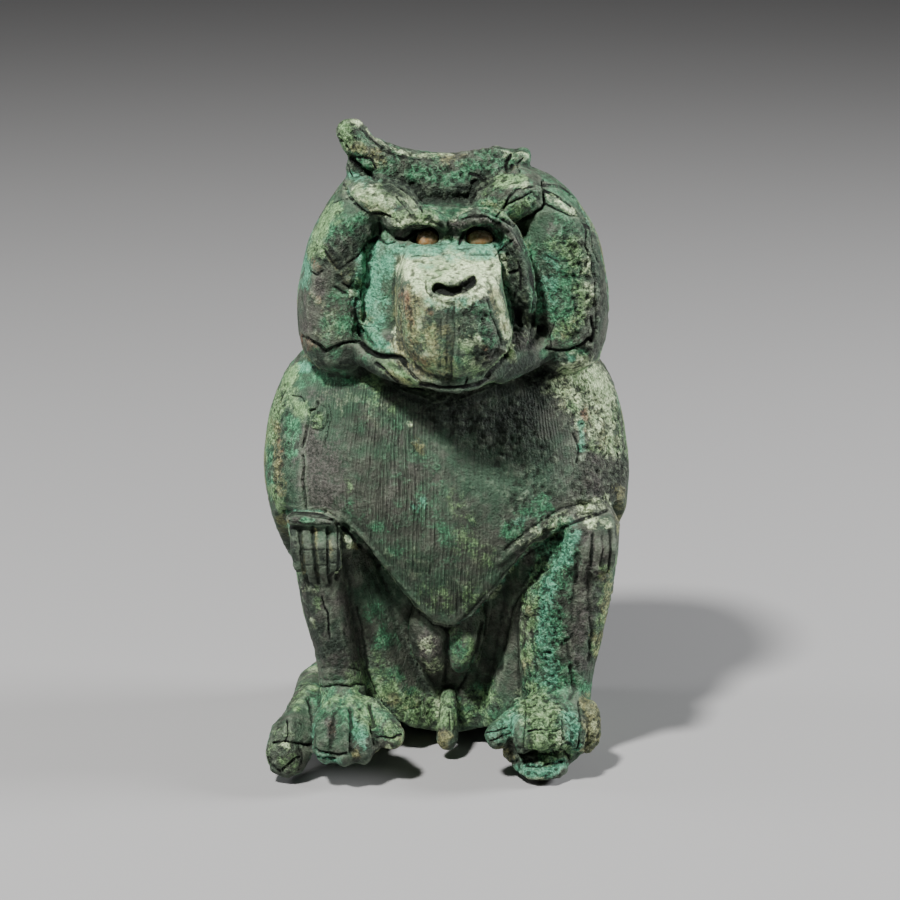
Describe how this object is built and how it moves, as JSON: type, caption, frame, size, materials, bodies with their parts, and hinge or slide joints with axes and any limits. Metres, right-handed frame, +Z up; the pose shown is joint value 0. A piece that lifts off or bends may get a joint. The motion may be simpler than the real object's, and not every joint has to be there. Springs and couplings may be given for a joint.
{
  "type": "squatting baboon figure",
  "caption": "Squatting baboon of Thoth in corroded cast bronze, hands on its knees under a pointed mane, with a broken crescent on its head and inlaid eyes.",
  "frame": {"origin": "on the floor, under the middle of the figure's bounding box", "axes": "+Z up; the figure faces -Y; +X to the figure's own left"},
  "size_m": [0.1238, 0.1116, 0.21],
  "materials": {
    "bronze": "rough green patina with paler, darker and yellow crusts",
    "eye_stone": "polished amber-brown stone, slightly translucent"
  },
  "bodies": {
    "root": {"figure": "bronze", "right_eye": "eye_stone", "left_eye": "eye_stone"}
  },
  "joints": []
}
